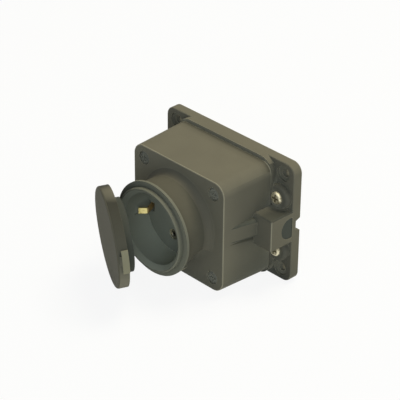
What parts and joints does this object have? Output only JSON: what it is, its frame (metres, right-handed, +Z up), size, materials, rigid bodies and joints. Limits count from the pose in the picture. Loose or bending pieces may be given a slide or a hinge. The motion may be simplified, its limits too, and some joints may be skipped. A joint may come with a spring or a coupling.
{
  "type": "wall socket with hinged lid",
  "caption": "Box-shaped wall socket with a round recessed outlet on a collar, a hinged round lid, a fixing flange and a side cable entry",
  "frame": {"origin": "centre of the mounting face, the flat back of the base plate", "axes": "the socket looks along -Y, +Z is up as the picture shows it, and +X is right seen from the front"},
  "size_m": [0.093, 0.0922, 0.069],
  "materials": {
    "housing_plastic": "olive brown moulded thermoset, fine satin grain",
    "insert_plastic": "dark grey green moulding, satin",
    "seal_rubber": "black rubber",
    "catch_plastic": "pale beige plastic",
    "brass": "bright brass",
    "zinc_steel": "zinc plated steel"
  },
  "bodies": {
    "box": {"base_plate": "housing_plastic", "base_gasket": "seal_rubber", "entry_membrane": "seal_rubber", "side_screws": "brass", "side_nuts": "zinc_steel", "housing": "housing_plastic", "cover_screws": "zinc_steel", "socket_insert": "insert_plastic", "insert_nut": "insert_plastic", "lid_seal": "seal_rubber", "line_contact": "brass", "neutral_contact": "brass", "contact_cover": "insert_plastic", "earth_bow": "brass", "terminal_screws": "zinc_steel", "hinge_pin": "zinc_steel"},
    "cover": {"lid": "housing_plastic", "lid_plug": "seal_rubber", "lid_catch": "catch_plastic"}
  },
  "joints": [
    {"name": "lid_hinge", "type": "hinge", "parent": "box", "child": "cover", "pos_m": [-0.02785, -0.0515, -0.00361], "axis": [0.1564, 0, -0.9877], "range_deg": [-29.4, 90.6]}
  ]
}
